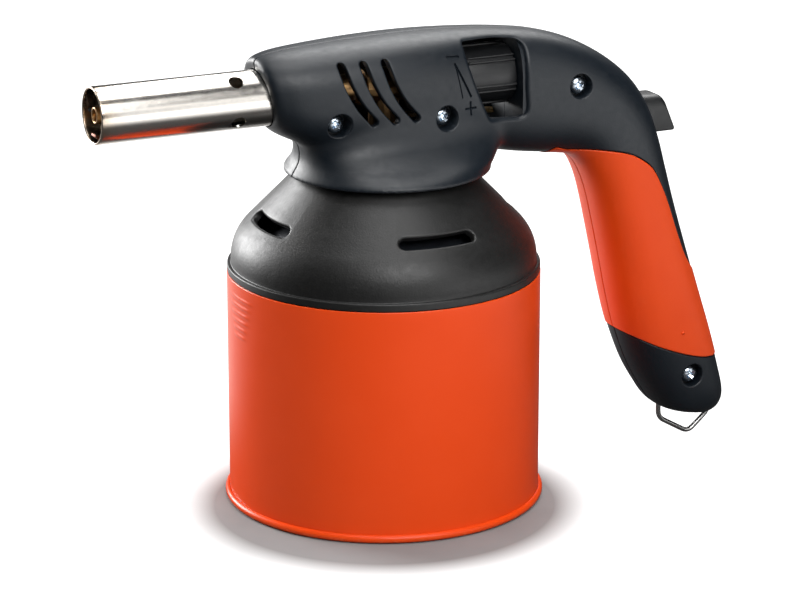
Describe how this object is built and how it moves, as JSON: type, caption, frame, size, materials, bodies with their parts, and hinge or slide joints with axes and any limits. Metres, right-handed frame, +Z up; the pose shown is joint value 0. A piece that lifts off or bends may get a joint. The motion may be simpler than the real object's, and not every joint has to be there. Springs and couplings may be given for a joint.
{
  "type": "refillable gas torch",
  "caption": "Gas torch with a steel cartridge cup, a vented dome, a moulded head with a curved grip handle, a straight burner tube, a valve wheel and a push igniter.",
  "frame": {"origin": "centre of the cup's flat base, on the surface that the torch stands on", "axes": "+Z up along the cup's axis, the burner points along -X, the handle reaches along +X, and the two head shells meet at Y = 0"},
  "size_m": [0.2063, 0.0962, 0.1412],
  "materials": {
    "orange_paint": "satin orange enamel",
    "cartridge_steel": "satin blue lacquer",
    "black_housing": "finely grained black",
    "black_dome": "finely grained black",
    "orange_grip": "smooth orange soft plastic",
    "zinc": "bright zinc plate",
    "spring_steel": "bright",
    "burner_steel": "bright drawn steel",
    "brass": "turned",
    "dark_steel": "dull",
    "ceramic": "unglazed white",
    "black_rubber": "matt",
    "black_part": "satin black",
    "loop_steel": "bright wire"
  },
  "bodies": {
    "cup": {"cartridge_cup": "orange_paint", "cup_base": "orange_paint"},
    "cartridge": {"gas_cartridge": "cartridge_steel"},
    "head": {"shell_left": "black_housing", "shell_right": "black_housing", "dome_cover": "black_dome", "grip_cover_left": "orange_grip", "grip_cover_right": "orange_grip", "case_screw_1": "zinc", "case_screw_2": "zinc", "case_screw_3": "zinc", "case_screw_4": "zinc", "latch_spring_front": "spring_steel", "latch_spring_rear": "spring_steel", "spark_electrode": "spring_steel", "earth_tab": "spring_steel", "piercing_needle": "spring_steel", "burner_tube": "burner_steel", "burner_bush": "brass", "mixer_tube": "brass", "gas_jet": "brass", "valve_body": "brass", "inlet_nut": "brass", "flame_stabiliser": "dark_steel", "electrode_insulator": "ceramic", "spark_lead": "black_rubber", "cartridge_seal": "black_rubber", "piezo_unit": "black_part"},
    "wheel": {"valve_wheel": "black_part", "valve_spindle": "spring_steel"},
    "button": {"igniter_button": "black_part"},
    "loop": {"hanging_loop": "loop_steel"}
  },
  "joints": [
    {"name": "head_lift", "type": "slide", "parent": "cup", "child": "head", "axis": [0, 0, 1], "range_m": [0, 0.18]},
    {"name": "cartridge_lift", "type": "slide", "parent": "cup", "child": "cartridge", "axis": [0, 0, 1], "range_m": [0, 0.09]},
    {"name": "wheel_turn", "type": "hinge", "parent": "head", "child": "wheel", "pos_m": [0.0242, 0, 0.12599], "axis": [1, 0, 0], "range_deg": [0, 540]},
    {"name": "button_press", "type": "slide", "parent": "head", "child": "button", "axis": [-1, 0, 0], "range_m": [0, 0.005], "stiffness_N_per_m": 2000, "springref_m": -0.001},
    {"name": "loop_swing", "type": "hinge", "parent": "head", "child": "loop", "pos_m": [0.0954, 0, 0.018], "axis": [1, 0, 0], "range_deg": [-25, 25]}
  ],
  "couplings": [
    {"joint": "cartridge_lift", "follows": "head_lift", "ratio": 0.5}
  ]
}
